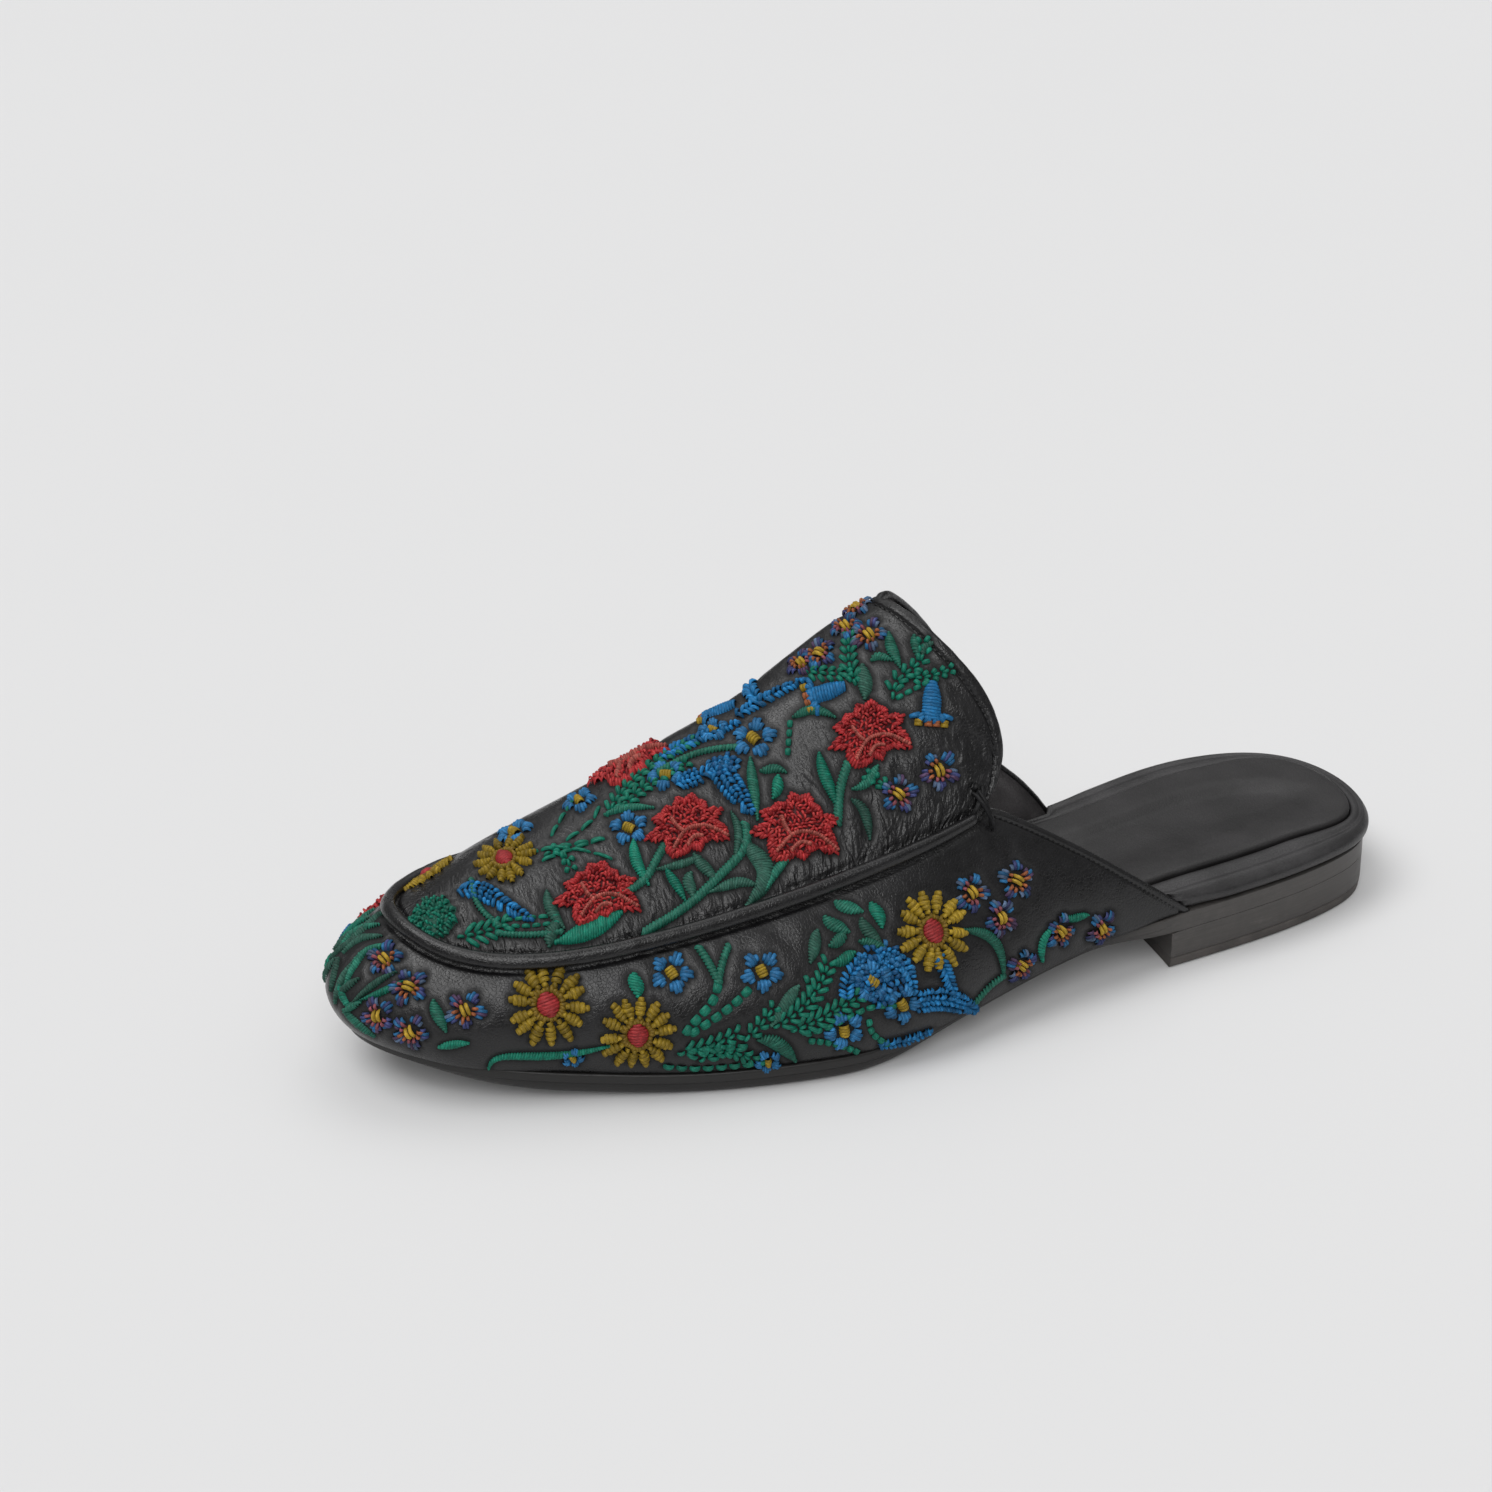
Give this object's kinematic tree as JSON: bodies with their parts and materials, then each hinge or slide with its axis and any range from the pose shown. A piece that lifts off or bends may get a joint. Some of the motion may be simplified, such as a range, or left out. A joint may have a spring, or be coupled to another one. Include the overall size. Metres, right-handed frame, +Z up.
{
  "type": "backless loafer mule",
  "caption": "Backless leather loafer mule with a low heel, an apron bordered by a rolled seam, and raised floral thread embroidery all over the upper.",
  "frame": {"origin": "on the floor plane, on the underside of the top lift, under the middle of the heel", "axes": "+X from the heel towards the toe, +Y to the wearer's left, which is the outer side of this left shoe, +Z up"},
  "size_m": [0.2672, 0.0918, 0.0904],
  "materials": {
    "upper_leather": "soft black nappa with raised floral thread embroidery",
    "piping_leather": "smooth black leather, satin",
    "footbed_leather": "smooth black leather, satin",
    "sock_leather": "smooth black leather, satin",
    "sole_leather": "blackened and waxed sole edge",
    "heel_leather": "blackened stacked leather, slightly mottled",
    "lift_rubber": "matt black rubber"
  },
  "bodies": {
    "root": {"upper": "upper_leather", "apron_piping": "piping_leather", "footbed": "footbed_leather", "sock_pad": "sock_leather", "outsole": "sole_leather", "heel_block": "heel_leather", "top_lift": "lift_rubber"}
  },
  "joints": []
}
